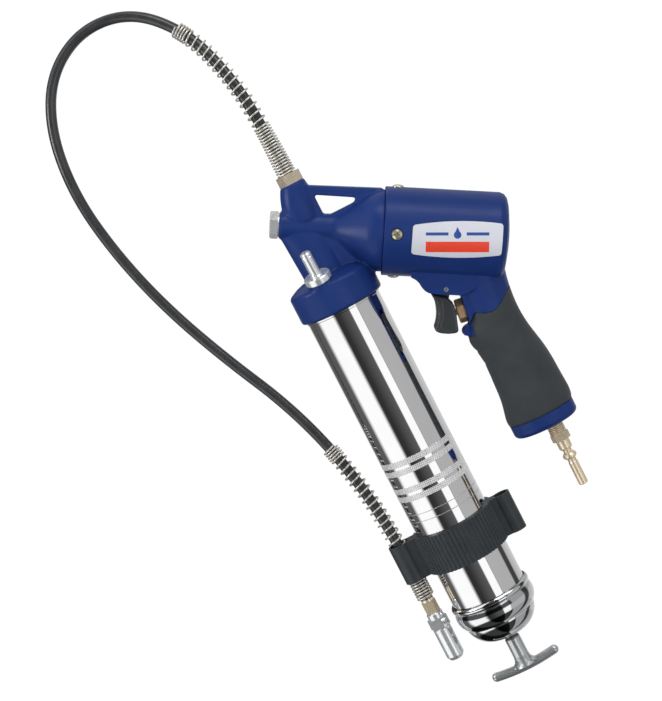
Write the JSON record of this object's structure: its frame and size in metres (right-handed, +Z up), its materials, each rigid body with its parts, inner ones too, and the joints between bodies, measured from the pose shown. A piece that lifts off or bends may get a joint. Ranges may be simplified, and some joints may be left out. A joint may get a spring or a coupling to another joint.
{
  "type": "pneumatic grease gun",
  "caption": "Air-operated pistol-grip grease gun with a chromed barrel, T-handled follower rod, rubber grip and a whip hose looped back through a clip to its coupler.",
  "frame": {"origin": "bottom centre of the gun's box, measured without the free hose and what is on it; the gun lies on its side", "axes": "+X along the barrel towards the T-handle, +Y towards the pistol handle, +Z up out of the side it lies on"},
  "size_m": [0.5722, 0.284, 0.067],
  "materials": {
    "blue_paint": "gloss blue paint over a die casting",
    "chrome_tube": "polished chrome plate",
    "zinc_steel": "zinc plated steel",
    "dark_steel": "plain oiled steel",
    "spring_steel": "bright spring wire",
    "yellow_brass": "turned brass",
    "grip_rubber": "moulded matt dark grey rubber",
    "hose_rubber": "smooth black rubber cover",
    "seal_rubber": "black seal rubber",
    "trigger_plastic": "moulded black plastic",
    "clip_plastic": "moulded dark grey plastic",
    "bushing_plastic": "dark plastic bushing",
    "label_white": "printed plastic label, left blank",
    "piston_aluminium": "turned aluminium"
  },
  "bodies": {
    "gun": {"head_casting": "blue_paint", "motor_housing": "blue_paint", "loader_nipple": "chrome_tube", "outlet_check_plug": "zinc_steel", "outlet_check_spring": "spring_steel", "packing_nut": "zinc_steel", "plunger_packing": "seal_rubber", "housing_screws": "zinc_steel", "label_near": "label_white", "label_far": "label_white", "grip_sleeve": "grip_rubber", "return_spring": "spring_steel", "trigger_pin": "zinc_steel", "valve_nut": "yellow_brass", "valve_seat": "seal_rubber", "valve_spring": "spring_steel", "air_plug": "yellow_brass", "inlet_strainer": "yellow_brass", "barrel_gasket": "seal_rubber", "barrel_tube": "chrome_tube", "end_cap": "chrome_tube", "rod_bushing": "bushing_plastic", "follower_spring": "spring_steel", "hose_clip": "clip_plastic", "hose": "hose_rubber", "hose_nut": "yellow_brass", "hose_ferrule_head": "zinc_steel", "hose_ferrule_coupler": "zinc_steel", "spring_guard_head": "spring_steel", "spring_guard_coupler": "spring_steel", "coupler_adapter": "yellow_brass", "coupler_body": "zinc_steel", "coupler_sleeve": "zinc_steel", "coupler_seal": "seal_rubber", "coupler_jaws": "dark_steel"},
    "trigger": {"trigger": "trigger_plastic"},
    "valve": {"valve_stem": "yellow_brass"},
    "follower": {"follower_plate": "zinc_steel", "follower_cup": "seal_rubber"},
    "rod": {"follower_rod": "zinc_steel", "rod_stop": "zinc_steel", "t_handle": "zinc_steel"},
    "piston": {"air_piston": "piston_aluminium", "piston_seal": "seal_rubber", "plunger": "dark_steel"},
    "check_ball": {"outlet_check_ball": "dark_steel"}
  },
  "joints": [
    {"name": "trigger_pull", "type": "hinge", "parent": "gun", "child": "trigger", "pos_m": [-0.0728, 0.0278, 0.0322], "axis": [0, 0, 1], "range_deg": [0, 7], "stiffness_Nm_per_rad": 2, "springref_deg": -8.59},
    {"name": "valve_slide", "type": "slide", "parent": "gun", "child": "valve", "axis": [0.1564, 0.9877, 0], "range_m": [0, 0.0024], "deforming": ["valve_spring"]},
    {"name": "follower_slide", "type": "slide", "parent": "gun", "child": "follower", "axis": [1, 0, 0], "range_m": [0, 0.19], "stiffness_N_per_m": 300, "springref_m": -0.17, "deforming": ["follower_spring"]},
    {"name": "rod_turn", "type": "hinge", "parent": "follower", "child": "rod", "pos_m": [-0.0935, -0.0448, 0.0322], "axis": [1, 0, 0], "continuous": true},
    {"name": "piston_stroke", "type": "slide", "parent": "gun", "child": "piston", "axis": [-0.5, -0.866, 0], "range_m": [0, 0.024], "stiffness_N_per_m": 1500, "springref_m": -0.03, "deforming": ["return_spring"]},
    {"name": "check_ball_lift", "type": "slide", "parent": "gun", "child": "check_ball", "axis": [-0.5, -0.866, 0], "range_m": [0, 0.0012], "stiffness_N_per_m": 400, "springref_m": -0.002, "deforming": ["outlet_check_spring"]}
  ],
  "couplings": [
    {"joint": "valve_slide", "follows": "trigger_pull", "m_per_rad": 0.0194}
  ]
}
